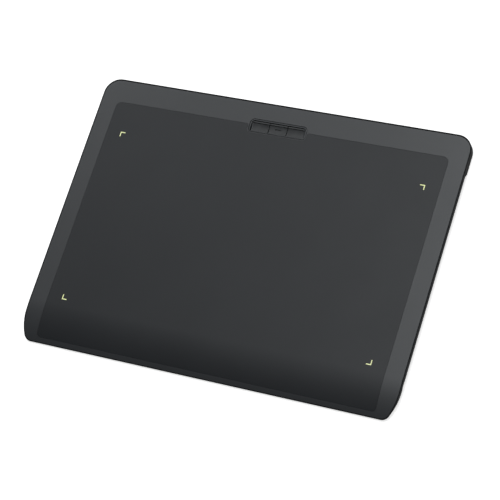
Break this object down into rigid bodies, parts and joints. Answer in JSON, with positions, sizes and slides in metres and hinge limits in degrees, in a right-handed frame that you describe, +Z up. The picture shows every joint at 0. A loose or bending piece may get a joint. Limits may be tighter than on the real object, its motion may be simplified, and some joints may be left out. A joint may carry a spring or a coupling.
{
  "type": "pen tablet",
  "caption": "Thin desk drawing tablet with a curved front edge, a matte drawing sheet with lit corner marks, and a row of press buttons at the rear.",
  "frame": {"origin": "middle of the underside, on the plane that the feet rest on", "axes": "+X to the right, +Y to the rear where the buttons are, +Z up out of the drawing sheet"},
  "size_m": [0.3214, 0.2352, 0.008],
  "materials": {
    "case_plastic": "black moulded ABS, fine spark texture",
    "cover_plastic": "dark grey moulded ABS, fine spark texture",
    "sheet_film": "matte coated PET film with a paper-like tooth",
    "frame_plastic": "satin moulded ABS",
    "key_plastic": "satin moulded ABS",
    "light_guide": "frosted polycarbonate, lit pale yellow-green",
    "light_chip": "chip light in clear resin",
    "adhesive_film": "double-sided adhesive film",
    "circuit_board": "glass-epoxy board with solder mask",
    "chip_body": "moulded epoxy",
    "steel_plate": "tinned steel sheet",
    "screw_steel": "black zinc-plated steel",
    "port_steel": "nickel-plated stainless steel",
    "port_core": "moulded liquid-crystal polymer",
    "switch_plastic": "moulded nylon",
    "stem_plastic": "moulded acetal",
    "socket_plastic": "moulded nylon, natural",
    "ribbon_film": "laminated polyester ribbon",
    "antenna_ceramic": "fired ceramic",
    "battery_foil": "aluminium laminate pouch",
    "tape_foam": "foam tape",
    "lead_red": "silicone insulation",
    "lead_black": "silicone insulation",
    "foot_rubber": "moulded silicone rubber",
    "label_paper": "bare polyester label"
  },
  "bodies": {
    "tablet": {"battery_cell": "battery_foil", "battery_lead_negative": "lead_black", "battery_lead_positive": "lead_red", "battery_plug": "socket_plastic", "battery_protection_board": "circuit_board", "battery_socket": "socket_plastic", "battery_tape": "tape_foam", "board_ribbon_socket": "socket_plastic", "board_screws": "screw_steel", "button_frame": "frame_plastic", "case_screws": "screw_steel", "charging_port_core": "port_core", "charging_port_shell": "port_steel", "chip_antenna": "antenna_ceramic", "controller_chip": "chip_body", "drawing_sheet": "sheet_film", "front_left_foot": "foot_rubber", "front_left_light": "light_chip", "front_left_light_guide": "light_guide", "front_right_foot": "foot_rubber", "front_right_light": "light_chip", "front_right_light_guide": "light_guide", "left_button_switch": "switch_plastic", "lower_case": "case_plastic", "main_board": "circuit_board", "middle_button_switch": "switch_plastic", "power_switch_body": "steel_plate", "radio_chip": "chip_body", "rating_label": "label_paper", "rear_left_foot": "foot_rubber", "rear_left_light": "light_chip", "rear_left_light_guide": "light_guide", "rear_right_foot": "foot_rubber", "rear_right_light": "light_chip", "rear_right_light_guide": "light_guide", "right_button_switch": "switch_plastic", "sensor_board": "circuit_board", "sensor_ribbon": "ribbon_film", "sensor_ribbon_socket": "socket_plastic", "sheet_adhesive": "adhesive_film", "shield_can": "steel_plate", "shield_sheet": "steel_plate", "top_cover": "cover_plastic"},
    "left_button": {"left_button": "key_plastic", "left_switch_stem": "stem_plastic"},
    "middle_button": {"middle_button": "key_plastic", "middle_switch_stem": "stem_plastic"},
    "right_button": {"right_button": "key_plastic", "right_switch_stem": "stem_plastic"},
    "power_switch": {"power_switch_knob": "switch_plastic", "power_switch_lever": "switch_plastic"}
  },
  "joints": [
    {"name": "left_button_press", "type": "slide", "parent": "tablet", "child": "left_button", "axis": [0, 0, -1], "range_m": [0, 0.0004], "stiffness_N_per_m": 1500},
    {"name": "middle_button_press", "type": "slide", "parent": "tablet", "child": "middle_button", "axis": [0, 0, -1], "range_m": [0, 0.0004], "stiffness_N_per_m": 1500},
    {"name": "right_button_press", "type": "slide", "parent": "tablet", "child": "right_button", "axis": [0, 0, -1], "range_m": [0, 0.0004], "stiffness_N_per_m": 1500},
    {"name": "power_switch_slide", "type": "slide", "parent": "tablet", "child": "power_switch", "axis": [1, 0, 0], "range_m": [0, 0.0025]}
  ]
}
